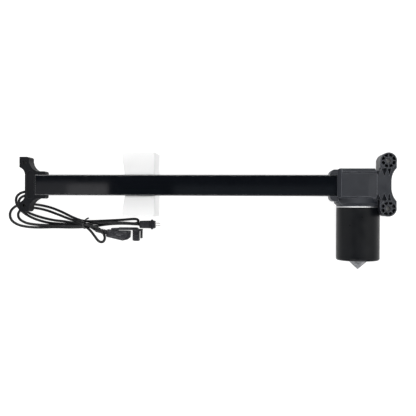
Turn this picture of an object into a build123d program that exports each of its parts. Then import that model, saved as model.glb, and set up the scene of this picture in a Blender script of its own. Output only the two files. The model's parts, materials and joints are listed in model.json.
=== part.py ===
from build123d import *
import math
import os

# Rail-type linear actuator for motion furniture, in millimetres, lying on its back.
# +X runs along the rail towards the gearbox, +Z is up, and the floor is z = 0.
# The origin is under the middle of the object. The motor hangs off the gearbox towards -Y.

os.makedirs("parts", exist_ok=True)

# Rail and lead screw
rail_y = 37.5
rail_z = 51.5
rail_width = 31.0
rail_height = 20.0
rail_wall = 1.8
rail_corner = 1.4
rail_slot = 12.0
rail_left = -251.6
rail_right = 201.4
screw_radius = 5.0
journal_radius = 4.0
running_gap = 0.05

# End bracket
bracket_left = -275.6
bracket_back = 41.5
bracket_thickness = 20.5
bracket_reaches = (39.8, 42.0)
bracket_hole_radius = 2.75
bracket_holes = (-30.7, 33.1)
bracket_hole_x = bracket_left + 7.7

# Gearbox
box_left = 193.4
box_right = 248.4
box_bottom = 19.6
box_top = 61.6
box_back = 9.0
box_front = 71.0
shell_split = rail_z
boss_x = 264.1
eye_centre = rail_y + 1.2
boss_offset = 33.8
boss_radius = 11.5
boss_length = 35.6
eye_radius = 3.4

# Motor
motor_x = 227.2
motor_z = 31.5
motor_radius = 31.5
motor_wall = 2.0
motor_top = 6.1
motor_bottom = -71.4
motor_tip = -84.4
shaft_radius = 3.0

# Worm gear: module 1, one start on thirty teeth
wheel_teeth = 30
wheel_tip_radius = 16.0
wheel_root_radius = 13.75
worm_core_radius = 3.7

# Carriage
carriage_left = -122.4
carriage_right = -73.7
carriage_half_width = 48.2
carriage_y = rail_y + 1.8
carriage_height = 46.0
nut_length = 36.0
nut_x = (carriage_left + carriage_right) / 2
cross_z = 20.0
cross_bore_radius = 5.1
cross_tube_radius = 7.0
travel_low = -78.0
travel_high = 240.0

# Leads
cord_radius = 2.0
bracket_depth = bracket_back + bracket_thickness
on_base = (Align.CENTER, Align.CENTER, Align.MIN)
motor_axis = Axis((motor_x, 0, motor_z), (0, 1, 0))


def across(x):
    """A plane square to the rail at x, with local x along +Y and local y along +Z, centred on the screw."""
    return Plane(origin=(x, rail_y, rail_z), x_dir=(0, 1, 0), z_dir=(1, 0, 0))


def below(y, x=motor_x, z=motor_z):
    """A plane square to the motor at y that faces -Y, with local x along +X and local y along +Z."""
    return Plane(origin=(x, y, z), x_dir=(1, 0, 0), z_dir=(0, -1, 0))


def round_along_x(x0, x1, radius, mode=Mode.ADD):
    """A cylinder on the screw's axis from x0 to x1."""
    with Locations(across(x0)):
        Cylinder(radius, x1 - x0, align=on_base, mode=mode)


def round_along_y(y0, y1, radius, mode=Mode.ADD, x=motor_x, z=motor_z):
    """A cylinder along Y from y0 up to y1, on the motor's axis unless x and z say otherwise."""
    with Locations(below(y1, x, z)):
        Cylinder(radius, y1 - y0, align=on_base, mode=mode)


def round_along_z(x, y, z0, z1, radius, mode=Mode.ADD):
    """A cylinder along Z from z0 to z1."""
    with Locations((x, y, z0)):
        Cylinder(radius, z1 - z0, align=on_base, mode=mode)


def block(x0, x1, y0, y1, z0, z1, mode=Mode.ADD):
    """A rectangular block between two corners."""
    with Locations(((x0 + x1) / 2, (y0 + y1) / 2, (z0 + z1) / 2)):
        Box(x1 - x0, y1 - y0, z1 - z0, mode=mode)


# ---- Rail and end bracket ----

bracket_screw_x = bracket_left + 33.0
bracket_screw_z = 55.0
bracket_screw_radius = 2.0

with BuildPart() as rail:
    with BuildSketch(across(rail_left)):
        RectangleRounded(rail_width, rail_height, rail_corner)
        RectangleRounded(
            rail_width - 2 * rail_wall,
            rail_height - 2 * rail_wall,
            0.6,
            mode=Mode.SUBTRACT,
        )
        with Locations((0, -rail_height / 2)):
            Rectangle(rail_slot, 3 * rail_wall, mode=Mode.SUBTRACT)
    extrude(amount=rail_right - rail_left)
    round_along_y(
        rail_y - rail_width, rail_y + rail_width, 2.15, Mode.SUBTRACT, bracket_screw_x, bracket_screw_z
    )
rail.part.label = "rail"
export_step(rail.part, "parts/rail.step")

column_x = 8.5
lobe_x = 15.0
socket_x = 24.0
flange_x = 40.5
flange_half = 20.3
flange_back = 48.0
spigot_length = 18.0

with BuildPart() as end_bracket:
    for side, reach in zip((-1, 1), bracket_reaches):
        with BuildSketch(Plane(origin=(bracket_left, rail_y, bracket_back))):
            with BuildLine():
                Line((column_x, 0), (column_x, side * 13.9))
                ThreePointArc((column_x, side * 13.9), (6.3, side * 21.8), (0, side * 26.2))
                Line((0, side * 26.2), (0, side * reach))
                Line((0, side * reach), (10.0, side * reach))
                ThreePointArc(
                    (10.0, side * reach), (13.2, side * (reach - 0.6)), (lobe_x, side * (reach - 2.6))
                )
                ThreePointArc(
                    (lobe_x, side * (reach - 2.6)), (18.8, side * 26.0), (27.0, side * flange_half)
                )
                Polyline(
                    (27.0, side * flange_half),
                    (flange_x - 2.5, side * flange_half),
                    (flange_x - 0.7, side * (flange_half - 0.7)),
                    (flange_x, side * (flange_half - 2.5)),
                    (flange_x, side * rail_width / 2),
                    (socket_x, side * rail_width / 2),
                    (socket_x, 0),
                    (column_x, 0),
                )
            make_face()
        extrude(amount=bracket_thickness)
    for side in (-1, 1):
        block(
            bracket_left + 26.5,
            bracket_left + flange_x + 1,
            rail_y + side * 19.5 - 4,
            rail_y + side * 19.5 + 4,
            bracket_back - 1,
            flange_back,
            Mode.SUBTRACT,
        )
    # the spigot that fills the rail's end and holds the screw's bush
    with BuildSketch(across(rail_left)):
        RectangleRounded(rail_width - 2 * rail_wall - 0.6, rail_height - 2 * rail_wall - 0.8, 1.0)
    extrude(amount=spigot_length)
    round_along_x(rail_left + 4.0, rail_left + spigot_length, 6.0, Mode.SUBTRACT)
    round_along_x(rail_left + 1.0, rail_left + 4.0, 4.5, Mode.SUBTRACT)
    # a shallow panel down the column's front
    with BuildSketch(Plane(origin=(bracket_left + 16.4, rail_y, bracket_depth))):
        SlotOverall(42.0, 11.0, rotation=90)
    extrude(amount=-0.6, mode=Mode.SUBTRACT)
    for side, hole in zip((-1, 1), bracket_holes):
        round_along_z(
            bracket_hole_x,
            rail_y + hole,
            bracket_back - 1,
            bracket_depth + 1,
            bracket_hole_radius,
            Mode.SUBTRACT,
        )
        head_y = rail_y + side * 17.9
        far_y = rail_y + side * 24.0
        round_along_y(
            min(head_y, far_y), max(head_y, far_y), 3.8, Mode.SUBTRACT, bracket_screw_x, bracket_screw_z
        )
        tip_y = rail_y + side * 8.5
        round_along_y(
            min(head_y, tip_y),
            max(head_y, tip_y),
            bracket_screw_radius,
            Mode.SUBTRACT,
            bracket_screw_x,
            bracket_screw_z,
        )
end_bracket.part.label = "end_bracket"
export_step(end_bracket.part, "parts/end_bracket.step")

with BuildPart() as bracket_screws:
    for side in (-1, 1):
        head_y = rail_y + side * 17.9
        top_y = rail_y + side * 20.1
        tip_y = rail_y + side * 9.0
        round_along_y(
            min(head_y, top_y), max(head_y, top_y), 3.5, x=bracket_screw_x, z=bracket_screw_z
        )
        round_along_y(
            min(head_y, tip_y),
            max(head_y, tip_y),
            bracket_screw_radius,
            x=bracket_screw_x,
            z=bracket_screw_z,
        )
bracket_screws.part.label = "bracket_screws"
export_step(bracket_screws.part, "parts/bracket_screws.step")

with BuildPart() as screw_end_bush:
    round_along_x(rail_left + 4.0, rail_left + spigot_length, 6.0)
    round_along_x(rail_left + 4.0, rail_left + spigot_length, journal_radius + running_gap, Mode.SUBTRACT)
screw_end_bush.part.label = "screw_end_bush"
export_step(screw_end_bush.part, "parts/screw_end_bush.step")

# ---- Gearbox: one body, cut into a front and a rear shell through the screw's axis ----

eye_y = (eye_centre - boss_offset, eye_centre + boss_offset)
boss_back = shell_split - boss_length / 2
boss_front = shell_split + boss_length / 2
neck_waist = 268.4
neck_foot = 10.5
neck_back = boss_back + 0.3
neck_front = boss_front - 1.0
hub_radius = 5.7
rim_inner_radius = 9.9
rib_width = 1.1
recess_depth = 14.0
can_gap = 0.6
housing_screw_places = ((209.0, 22.6), (209.0, 56.0), (242.6, 22.6), (242.6, 56.0))

with BuildPart() as gearbox:
    block(box_left, box_right, box_bottom, box_top, box_back, box_front)
    fillet(gearbox.edges().filter_by(Axis.Z), 4.0)
    chamfer(gearbox.faces().sort_by(Axis.Z)[-1].outer_wire().edges(), 2.0)
    # the slope that runs down to the rail
    with BuildSketch(Plane.XZ.offset(-box_top - 1)):
        with BuildLine():
            Polyline(
                (box_left - 1, box_front - 6.6),
                (box_left + 5.0, box_front + 0.01),
                (box_left - 1, box_front + 1),
                close=True,
            )
        make_face()
    extrude(amount=box_top - box_bottom + 2, mode=Mode.SUBTRACT)
    # round adaptor over the motor, with a belly that swells into the box
    round_along_y(motor_top + 1.5, box_bottom + 2.0, motor_radius - 0.2)
    with BuildPart(mode=Mode.PRIVATE) as belly:
        with BuildSketch(Plane.XY.offset(motor_z)):
            with BuildLine():
                Polyline(
                    (motor_x, motor_top + 3.0),
                    (motor_x + 31.0, motor_top + 3.0),
                    (motor_x + 34.6, motor_top + 6.2),
                    (motor_x + 39.0, box_bottom + 1.5),
                    (motor_x, box_bottom + 1.5),
                    close=True,
                )
            make_face()
        revolve(axis=motor_axis)
        with Locations((221.9, 14.0, 39.9)):
            Box(57.0, 20.0, 61.8, mode=Mode.INTERSECT)
    add(belly.part)
    # collar whose two lips hold the sides of the rail
    block(box_left - 10.0, box_left + 2.0, rail_y - 22.8, rail_y + 22.8, 34.0, 64.0)
    fillet(gearbox.edges().filter_by(Axis.Z).group_by(Axis.X)[0], 6.5)
    # neck plate and the two eye bosses
    with BuildSketch(Plane.XY.offset(neck_back)) as neck:
        with Locations(((244.0 + neck_waist) / 2, eye_centre)):
            Rectangle(neck_waist - 244.0, 41.0)
        with BuildLine():
            Polyline(
                (boss_x + boss_radius, eye_y[1] - neck_foot),
                (boss_x + boss_radius, eye_y[1]),
                (boss_x - boss_radius, eye_y[1]),
                (boss_x - boss_radius, eye_y[0]),
                (boss_x + boss_radius, eye_y[0]),
                (boss_x + boss_radius, eye_y[0] + neck_foot),
            )
            Spline(
                (boss_x + boss_radius, eye_y[0] + neck_foot),
                (neck_waist, eye_centre - 6.5),
                (neck_waist, eye_centre + 6.5),
                (boss_x + boss_radius, eye_y[1] - neck_foot),
                tangents=((-1, 1), (1, 1)),
            )
        make_face()
        with Locations((boss_x, eye_y[0]), (boss_x, eye_y[1])):
            Circle(boss_radius)
    extrude(amount=neck_front - neck_back)
    with BuildSketch(Plane.XY.offset(boss_back)):
        with Locations((boss_x, eye_y[0]), (boss_x, eye_y[1])):
            Circle(boss_radius)
    extrude(amount=boss_length)
    for side in (-1, 1):
        # tapering notches beside each boss leave pointed webs between them
        for notch_x, notch_half in ((249.8, 4.2), (258.4, 4.2), (265.4, 2.4)):
            root_y = eye_centre + side * (boss_offset - 10.6)
            with BuildSketch(Plane.XY.offset(neck_front)):
                with BuildLine():
                    Polyline(
                        (notch_x - notch_half, root_y),
                        (notch_x + notch_half, root_y),
                        (notch_x, root_y - side * 11.0),
                        close=True,
                    )
                make_face()
            extrude(amount=-9.0, mode=Mode.SUBTRACT)
        # ribbed recesses in both ends of the boss
        for face_z, way in ((boss_front, -1), (boss_back, 1)):
            with BuildSketch(Plane.XY.offset(face_z)):
                with Locations((boss_x, eye_centre + side * boss_offset)):
                    Circle(rim_inner_radius)
                    Circle(hub_radius, mode=Mode.SUBTRACT)
                    for turn in range(4):
                        Rectangle(
                            2 * boss_radius, rib_width, rotation=45 * turn, mode=Mode.SUBTRACT
                        )
            extrude(amount=way * recess_depth, mode=Mode.SUBTRACT)
        round_along_z(
            boss_x,
            eye_centre + side * boss_offset,
            boss_back - 1,
            boss_front + 1,
            eye_radius,
            Mode.SUBTRACT,
        )
    # room for the motor can beside the lower boss
    round_along_y(-12.0, motor_top + 1.5, motor_radius + can_gap, Mode.SUBTRACT)
    # the front falls gently into the neck
    with BuildSketch(Plane.XZ.offset(-box_top - 1)):
        with BuildLine():
            Polyline(
                (box_right - 12.0, box_front + 0.01),
                (box_right + 3.6, neck_front),
                (box_right + 3.6, box_front + 1),
                close=True,
            )
        make_face()
    extrude(amount=box_top - box_bottom + 2, mode=Mode.SUBTRACT)
    # sloping strip and groove along the front's upper edge
    with BuildSketch(Plane.YZ.offset(box_left + 6.5)):
        with BuildLine():
            Polyline(
                (box_top - 6.6, box_front - 3.6),
                (box_top - 6.6, box_front + 1.0),
                (box_top + 1.0, box_front + 1.0),
                (box_top + 1.0, box_front - 4.6),
                (box_top - 5.4, box_front - 0.6),
                (box_top - 5.4, box_front - 3.6),
                close=True,
            )
        make_face()
    extrude(amount=boss_x - boss_radius - box_left - 6.5, mode=Mode.SUBTRACT)
    # rail socket, screw, wheel and bearing seats
    with BuildSketch(across(box_left - 11.0)):
        RectangleRounded(rail_width, rail_height, rail_corner)
    extrude(amount=rail_right - box_left + 11.0, mode=Mode.SUBTRACT)
    block(
        box_left - 11.0,
        box_left,
        rail_y - rail_width / 2,
        rail_y + rail_width / 2,
        rail_z,
        box_front,
        Mode.SUBTRACT,
    )
    round_along_x(rail_right - 1, 246.0, 6.2, Mode.SUBTRACT)
    round_along_x(203.5, 213.5, 9.0, Mode.SUBTRACT)
    round_along_x(216.0, 238.0, 17.5, Mode.SUBTRACT)
    round_along_x(238.0, 245.0, 11.0, Mode.SUBTRACT)
    round_along_x(245.0, 251.0, 8.0, Mode.SUBTRACT)
    # worm bore with its seats
    round_along_y(motor_top + 1.5, motor_top + 6.5, 8.5, Mode.SUBTRACT)
    round_along_y(motor_top + 6.5, 14.5, 5.0, Mode.SUBTRACT)
    round_along_y(14.5, 52.0, 8.0, Mode.SUBTRACT)
    round_along_y(52.0, 58.0, 5.5, Mode.SUBTRACT)
    for side in (-1, 1):
        round_along_y(motor_top + 1.5, 16.5, 2.0, Mode.SUBTRACT, x=motor_x + side * 20.0)
    for place in housing_screw_places:
        round_along_z(*place, box_back - 1, 36.0, 4.2, Mode.SUBTRACT)
        round_along_z(*place, 35.0, 64.0, 2.0, Mode.SUBTRACT)

with BuildPart() as gearbox_front_shell:
    add(gearbox.part)
    split(bisect_by=Plane.XY.offset(shell_split), keep=Keep.TOP)
gearbox_front_shell.part.label = "gearbox_front_shell"
export_step(gearbox_front_shell.part, "parts/gearbox_front_shell.step")

with BuildPart() as gearbox_rear_shell:
    add(gearbox.part)
    split(bisect_by=Plane.XY.offset(shell_split), keep=Keep.BOTTOM)
gearbox_rear_shell.part.label = "gearbox_rear_shell"
export_step(gearbox_rear_shell.part, "parts/gearbox_rear_shell.step")

with BuildPart() as housing_screws:
    for place in housing_screw_places:
        round_along_z(*place, 32.4, 36.0, 3.6)
        round_along_z(*place, 36.0, 62.0, 2.0)
        with BuildSketch(Plane.XY.offset(32.4)):
            with Locations(place):
                RegularPolygon(1.8, 6)
        extrude(amount=1.8, mode=Mode.SUBTRACT)
housing_screws.part.label = "housing_screws"
export_step(housing_screws.part, "parts/housing_screws.step")

# ---- Lead screw, worm wheel and bearings ----

screw_left = -249.6
thread_left = -232.0
thread_right = 214.0
screw_right = 250.0
race_inner_radius = 6.6
race_outer_radius = 9.4
race_centre = (race_inner_radius + race_outer_radius) / 2
bearing_left = 238.0
bearing_right = 245.0
ball_radius = 1.6
ball_count = 9
groove_radius = 1.75

with BuildPart() as lead_screw:
    round_along_x(screw_left, thread_left, journal_radius)
    round_along_x(thread_left, thread_right, screw_radius)
    round_along_x(thread_right, screw_right, journal_radius)
    chamfer(lead_screw.faces().sort_by(Axis.X)[0].edges(), 0.6)
    chamfer(lead_screw.faces().sort_by(Axis.X)[-1].edges(), 0.6)
lead_screw.part.label = "lead_screw"
export_step(lead_screw.part, "parts/lead_screw.step")

with BuildPart() as screw_front_bush:
    round_along_x(203.5, 213.5, 9.0)
    round_along_x(203.5, 213.5, screw_radius + running_gap, Mode.SUBTRACT)
screw_front_bush.part.label = "screw_front_bush"
export_step(screw_front_bush.part, "parts/screw_front_bush.step")

with BuildPart() as worm_wheel:
    with BuildSketch(across(motor_x - 4.5)):
        Circle(wheel_tip_radius)
        with PolarLocations((wheel_tip_radius + wheel_root_radius) / 2, wheel_teeth):
            Rectangle(wheel_tip_radius - wheel_root_radius + 0.4, 1.55, mode=Mode.SUBTRACT)
    extrude(amount=9.0)
    round_along_x(219.0, 236.0, 8.0)
    round_along_x(219.0, 236.0, journal_radius, Mode.SUBTRACT)
worm_wheel.part.label = "worm_wheel"
export_step(worm_wheel.part, "parts/worm_wheel.step")

with BuildPart() as thrust_collar:
    round_along_x(thread_right, 219.0, 6.0)
    round_along_x(thread_right, 219.0, journal_radius, Mode.SUBTRACT)
thrust_collar.part.label = "thrust_collar"
export_step(thrust_collar.part, "parts/thrust_collar.step")

with BuildPart() as bearing_spacer:
    round_along_x(236.0, bearing_left, 5.8)
    round_along_x(236.0, bearing_left, journal_radius, Mode.SUBTRACT)
bearing_spacer.part.label = "bearing_spacer"
export_step(bearing_spacer.part, "parts/bearing_spacer.step")

ball_track = across((bearing_left + bearing_right) / 2)

with BuildPart() as bearing_inner_race:
    round_along_x(bearing_left, bearing_right, race_inner_radius)
    round_along_x(bearing_left, bearing_right, journal_radius, Mode.SUBTRACT)
    with Locations(ball_track):
        Torus(race_centre, groove_radius, mode=Mode.SUBTRACT)
bearing_inner_race.part.label = "bearing_inner_race"
export_step(bearing_inner_race.part, "parts/bearing_inner_race.step")

with BuildPart() as bearing_outer_race:
    round_along_x(bearing_left, bearing_right, 11.0)
    round_along_x(bearing_left, bearing_right, race_outer_radius, Mode.SUBTRACT)
    with Locations(ball_track):
        Torus(race_centre, groove_radius, mode=Mode.SUBTRACT)
bearing_outer_race.part.label = "bearing_outer_race"
export_step(bearing_outer_race.part, "parts/bearing_outer_race.step")

with BuildPart() as bearing_balls:
    with Locations(ball_track):
        with PolarLocations(race_centre, ball_count):
            Sphere(ball_radius)
bearing_balls.part.label = "bearing_balls"
export_step(bearing_balls.part, "parts/bearing_balls.step")

with BuildPart() as lock_nut:
    with BuildSketch(across(bearing_right)):
        RegularPolygon(7.4, 6)
        Circle(journal_radius, mode=Mode.SUBTRACT)
    extrude(amount=4.0)
lock_nut.part.label = "lock_nut"
export_step(lock_nut.part, "parts/lock_nut.step")

# ---- Motor ----

can_inner_radius = motor_radius - motor_wall
can_corner = 3.2
can_floor = motor_bottom + motor_wall
rear_seat_depth = 7.0

with BuildPart() as motor_flange_plate:
    round_along_y(motor_top, motor_top + 1.5, motor_radius)
    round_along_y(motor_top, motor_top + 1.5, 8.5, Mode.SUBTRACT)
    for side in (-1, 1):
        round_along_y(motor_top, motor_top + 1.5, 2.2, Mode.SUBTRACT, x=motor_x + side * 20.0)
motor_flange_plate.part.label = "motor_flange_plate"
export_step(motor_flange_plate.part, "parts/motor_flange_plate.step")

with BuildPart() as motor_can:
    round_along_y(motor_bottom, motor_top, motor_radius)
    fillet(motor_can.faces().sort_by(Axis.Y)[0].edges(), can_corner)
    round_along_y(can_floor, motor_top, can_inner_radius, Mode.SUBTRACT)
    round_along_y(can_floor, can_floor + rear_seat_depth, 11.0)
    round_along_y(can_floor, can_floor + rear_seat_depth, 8.0, Mode.SUBTRACT)
    round_along_y(motor_bottom, can_floor, 3.6, Mode.SUBTRACT)
motor_can.part.label = "motor_can"
export_step(motor_can.part, "parts/motor_can.step")

with BuildPart() as motor_end_cap:
    with BuildSketch(below(motor_bottom)):
        RegularPolygon(15.6, 8, rotation=22.5)
    with BuildSketch(below(motor_tip)):
        RegularPolygon(0.7, 8, rotation=22.5)
    loft()
    round_along_y(motor_bottom, can_floor, 3.6)
motor_end_cap.part.label = "motor_end_cap"
export_step(motor_end_cap.part, "parts/motor_end_cap.step")

magnet_low = -52.0
magnet_high = -14.0
with BuildPart() as motor_magnets:
    with BuildSketch(below(magnet_high)):
        Circle(can_inner_radius)
        Circle(can_inner_radius - 3.6, mode=Mode.SUBTRACT)
        Rectangle(4 * motor_radius, 22.0, mode=Mode.SUBTRACT)
    extrude(amount=magnet_high - magnet_low)
motor_magnets.part.label = "motor_magnets"
export_step(motor_magnets.part, "parts/motor_magnets.step")

brush_plate_low = 2.0
with BuildPart() as brush_plate:
    round_along_y(brush_plate_low, motor_top, can_inner_radius)
    round_along_y(brush_plate_low, motor_top, 11.5, Mode.SUBTRACT)
    for side in (-1, 1):
        round_along_y(brush_plate_low, motor_top, 4.2, Mode.SUBTRACT, x=motor_x + side * 20.0)
brush_plate.part.label = "brush_plate"
export_step(brush_plate.part, "parts/brush_plate.step")

with BuildPart() as motor_brushes:
    for side in (-1, 1):
        inner_z = motor_z + side * 9.3
        outer_z = motor_z + side * 18.0
        block(
            motor_x - 2.5,
            motor_x + 2.5,
            -4.0,
            brush_plate_low,
            min(inner_z, outer_z),
            max(inner_z, outer_z),
        )
motor_brushes.part.label = "motor_brushes"
export_step(motor_brushes.part, "parts/motor_brushes.step")

with BuildPart() as motor_screws:
    for side in (-1, 1):
        screw_x = motor_x + side * 20.0
        round_along_y(motor_top - 2.6, motor_top, 3.6, x=screw_x)
        round_along_y(motor_top, 16.0, 2.0, x=screw_x)
motor_screws.part.label = "motor_screws"
export_step(motor_screws.part, "parts/motor_screws.step")

with BuildPart() as motor_front_bearing:
    round_along_y(motor_top, motor_top + 6.5, 8.5)
    round_along_y(motor_top, motor_top + 6.5, shaft_radius + running_gap, Mode.SUBTRACT)
motor_front_bearing.part.label = "motor_front_bearing"
export_step(motor_front_bearing.part, "parts/motor_front_bearing.step")

with BuildPart() as motor_rear_bush:
    round_along_y(can_floor, can_floor + rear_seat_depth, 8.0)
    round_along_y(
        can_floor, can_floor + rear_seat_depth, shaft_radius + running_gap, Mode.SUBTRACT
    )
motor_rear_bush.part.label = "motor_rear_bush"
export_step(motor_rear_bush.part, "parts/motor_rear_bush.step")

with BuildPart() as worm_end_bush:
    round_along_y(52.0, 58.0, 5.5)
    round_along_y(52.0, 58.0, shaft_radius + running_gap, Mode.SUBTRACT)
worm_end_bush.part.label = "worm_end_bush"
export_step(worm_end_bush.part, "parts/worm_end_bush.step")

with BuildPart() as worm_shaft:
    round_along_y(can_floor + 0.5, 57.6, shaft_radius)
    round_along_y(24.0, 51.0, worm_core_radius)
worm_shaft.part.label = "worm_shaft"
export_step(worm_shaft.part, "parts/worm_shaft.step")

core_low = -50.0
core_high = -16.0
core_radius = 25.0
slot_count = 12
with BuildPart() as armature_core:
    with BuildSketch(below(core_high)):
        Circle(core_radius)
        with PolarLocations(20.0, slot_count):
            SlotOverall(8.0, 5.0, mode=Mode.SUBTRACT)
        with PolarLocations(core_radius, slot_count):
            Rectangle(4.0, 2.0, mode=Mode.SUBTRACT)
        Circle(shaft_radius, mode=Mode.SUBTRACT)
    extrude(amount=core_high - core_low)
armature_core.part.label = "armature_core"
export_step(armature_core.part, "parts/armature_core.step")

with BuildPart() as armature_windings:
    for low in (core_low - 8.0, core_high):
        round_along_y(low, low + 8.0, 23.0)
    fillet(armature_windings.edges().filter_by(GeomType.CIRCLE), 2.5)
    round_along_y(core_low - 8.0, core_high + 8.0, 8.0, Mode.SUBTRACT)
armature_windings.part.label = "armature_windings"
export_step(armature_windings.part, "parts/armature_windings.step")

with BuildPart() as commutator:
    with BuildSketch(below(3.0)):
        Circle(9.0)
        with PolarLocations(9.0, slot_count):
            Rectangle(2.0, 0.6, mode=Mode.SUBTRACT)
        Circle(shaft_radius, mode=Mode.SUBTRACT)
    extrude(amount=9.0)
commutator.part.label = "commutator"
export_step(commutator.part, "parts/commutator.step")

# ---- Carriage ----

stem_half = 5.5
channel_half = rail_width / 2 + 0.5
channel_floor = rail_z - rail_height / 2 - 0.5
pad_length = 38.0
pad_width = 6.0
pad_floor = channel_floor - 2.4
pad_top = channel_floor + 0.3
stem_floor = 30.0
nut_screw_places = (nut_x - 13.0, nut_x + 13.0)

with BuildPart() as slider_block:
    with BuildSketch(Plane.XY):
        with BuildLine():
            Polyline(
                (carriage_left, carriage_y + carriage_half_width),
                (carriage_left, rail_y + 36.0),
                (carriage_left + 3.3, rail_y + 17.0),
                (carriage_left + 3.3, rail_y - 17.0),
                (carriage_left, rail_y - 36.0),
                (carriage_left, carriage_y - carriage_half_width),
                (carriage_right, carriage_y - carriage_half_width),
                (carriage_right, carriage_y + carriage_half_width),
                close=True,
            )
        make_face()
    extrude(amount=carriage_height)
    fillet(slider_block.edges().filter_by(Axis.Z).group_by(Axis.X)[-1], 1.2)
    chamfer(slider_block.faces().sort_by(Axis.Z)[-1].outer_wire().edges(), 1.0)
    block(
        carriage_left - 1,
        carriage_right + 1,
        rail_y - channel_half,
        rail_y + channel_half,
        channel_floor,
        carriage_height + 1,
        Mode.SUBTRACT,
    )
    block(
        nut_x - 17.0,
        nut_x + 17.0,
        rail_y - stem_half,
        rail_y + stem_half,
        stem_floor,
        channel_floor + 1,
        Mode.SUBTRACT,
    )
    for side in (-1, 1):
        with BuildSketch(Plane.XY.offset(pad_floor)):
            with Locations((nut_x, rail_y + side * 10.5)):
                RectangleRounded(pad_length, pad_width, 2.0)
        extrude(amount=4.0, mode=Mode.SUBTRACT)
    round_along_y(
        rail_y - 50, rail_y + 50, cross_tube_radius, Mode.SUBTRACT, x=nut_x, z=cross_z
    )
    for place in nut_screw_places:
        round_along_z(place, rail_y, -1, 19.0, 4.7, Mode.SUBTRACT)
        round_along_z(place, rail_y, 18.0, stem_floor + 1, 2.5, Mode.SUBTRACT)
slider_block.part.label = "slider_block"
export_step(slider_block.part, "parts/slider_block.step")

with BuildPart() as guide_pads:
    for side in (-1, 1):
        with BuildSketch(Plane.XY.offset(pad_floor)):
            with Locations((nut_x, rail_y + side * 10.5)):
                RectangleRounded(pad_length, pad_width, 2.0)
        extrude(amount=pad_top - pad_floor)
guide_pads.part.label = "guide_pads"
export_step(guide_pads.part, "parts/guide_pads.step")

with BuildPart() as drive_nut:
    with BuildSketch(across(nut_x - nut_length / 2)):
        RectangleRounded(23.0, 15.0, 1.5)
        Circle(screw_radius + running_gap, mode=Mode.SUBTRACT)
    extrude(amount=nut_length)
    block(
        nut_x - 17.0,
        nut_x + 17.0,
        rail_y - stem_half,
        rail_y + stem_half,
        stem_floor,
        rail_z - 6.5,
    )
    for place in nut_screw_places:
        round_along_z(place, rail_y, stem_floor - 1, 42.0, 2.5, Mode.SUBTRACT)
drive_nut.part.label = "drive_nut"
export_step(drive_nut.part, "parts/drive_nut.step")

with BuildPart() as nut_screws:
    for place in nut_screw_places:
        round_along_z(place, rail_y, 14.0, 19.0, 4.25)
        round_along_z(place, rail_y, 19.0, 41.0, 2.5)
        with BuildSketch(Plane.XY.offset(14.0)):
            with Locations((place, rail_y)):
                RegularPolygon(2.2, 6)
        extrude(amount=2.5, mode=Mode.SUBTRACT)
nut_screws.part.label = "nut_screws"
export_step(nut_screws.part, "parts/nut_screws.step")

with BuildPart() as cross_tube:
    low_y = carriage_y - carriage_half_width
    high_y = carriage_y + carriage_half_width
    round_along_y(low_y, high_y, cross_tube_radius, x=nut_x, z=cross_z)
    round_along_y(low_y, high_y, cross_bore_radius, Mode.SUBTRACT, x=nut_x, z=cross_z)
cross_tube.part.label = "cross_tube"
export_step(cross_tube.part, "parts/cross_tube.step")

# ---- Limit switches inside the rail, with their plungers and harness ----

switch_y0 = 44.2
switch_y1 = rail_y + rail_width / 2 - rail_wall
switch_length = 11.0
plunger_radius = 1.0
plunger_y = 46.8
plunger_inside = 3.0
plunger_outside = 2.4
plunger_well = 4.2
plunger_clearance = 0.3
nut_low_face = nut_x - nut_length / 2 + travel_low
nut_high_face = nut_x + nut_length / 2 + travel_high
left_tip = nut_low_face - plunger_clearance
right_tip = nut_high_face + plunger_clearance


def switch_body(face_x, way):
    """A switch body whose working face is at face_x and looks along way, with a well for its plunger."""
    back_x = face_x - way * switch_length
    block(min(face_x, back_x), max(face_x, back_x), switch_y0, switch_y1, 46.0, 57.0)
    well_x = face_x - way * plunger_well
    plane = Plane(origin=(well_x, plunger_y, rail_z), x_dir=(0, 1, 0), z_dir=(way, 0, 0))
    with Locations(plane):
        Cylinder(plunger_radius + running_gap, plunger_well, align=on_base, mode=Mode.SUBTRACT)


def plunger_pin(face_x, way):
    """A pin that stands out of the switch's face."""
    plane = Plane(
        origin=(face_x - way * plunger_inside, plunger_y, rail_z), x_dir=(0, 1, 0), z_dir=(way, 0, 0)
    )
    with Locations(plane):
        Cylinder(plunger_radius, plunger_inside + plunger_outside, align=on_base)


with BuildPart() as limit_switch_left:
    switch_body(left_tip - plunger_outside, 1)
limit_switch_left.part.label = "limit_switch_left"
export_step(limit_switch_left.part, "parts/limit_switch_left.step")

with BuildPart() as limit_switch_right:
    switch_body(right_tip + plunger_outside, -1)
limit_switch_right.part.label = "limit_switch_right"
export_step(limit_switch_right.part, "parts/limit_switch_right.step")

with BuildPart() as switch_plunger_left:
    plunger_pin(left_tip - plunger_outside, 1)
switch_plunger_left.part.label = "switch_plunger_left"
export_step(switch_plunger_left.part, "parts/switch_plunger_left.step")

with BuildPart() as switch_plunger_right:
    plunger_pin(right_tip + plunger_outside, -1)
switch_plunger_right.part.label = "switch_plunger_right"
export_step(switch_plunger_right.part, "parts/switch_plunger_right.step")

with BuildPart() as inner_harness:
    harness_y = rail_y - rail_width / 2 + rail_wall
    block(thread_left, rail_right, harness_y, harness_y + 1.2, 48.5, 54.5)
inner_harness.part.label = "inner_harness"
export_step(inner_harness.part, "parts/inner_harness.step")

# ---- Leads: two round cords, tied into a short hank on the floor ----

grommet_left = -262.0
cord_exit_z = 37.0
plug_cord_y = 28.9
connector_cord_y = 23.6

with BuildPart() as cable_grommet:
    block(grommet_left, grommet_left + 10.0, 19.8, 32.4, 32.8, bracket_back)
    fillet(cable_grommet.edges().filter_by(Axis.Z), 1.5)
cable_grommet.part.label = "cable_grommet"
export_step(cable_grommet.part, "parts/cable_grommet.step")

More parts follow.
